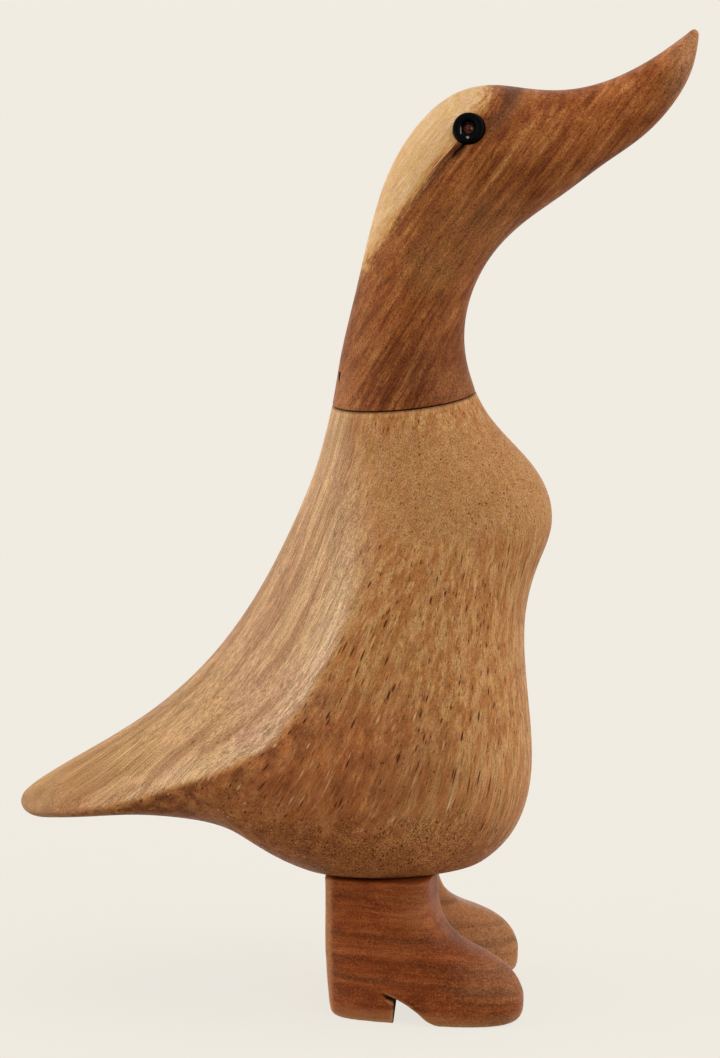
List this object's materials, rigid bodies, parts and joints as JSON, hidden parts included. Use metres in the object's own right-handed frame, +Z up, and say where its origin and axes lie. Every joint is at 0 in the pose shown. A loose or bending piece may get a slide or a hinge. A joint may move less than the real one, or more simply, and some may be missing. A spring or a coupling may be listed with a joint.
{
  "type": "wooden duck figure",
  "caption": "Upright carved wooden duck with a raised bill and swept-back tail, glued onto chunky wooden boots, standing ornament.",
  "frame": {"origin": "on the floor under the duck, at the middle of the bounding box", "axes": "+X forward, the way the bill points; +Y to the duck's left; +Z up"},
  "size_m": [0.1793, 0.085, 0.2607],
  "materials": {
    "root_wood": "pale tan bamboo-root wood with dark flecks and light streaks, sanded, thin satin wax",
    "head_wood": "brown heartwood with a cream sapwood nape, satin wax",
    "boot_wood": "reddish-brown wood with level grain, satin wax, rubbed edges",
    "bead_black": "black bead with a brown dished centre"
  },
  "bodies": {
    "root": {"body": "root_wood", "head": "head_wood", "boot_right": "boot_wood", "boot_left": "boot_wood", "eye_right": "bead_black", "eye_left": "bead_black"}
  },
  "joints": []
}
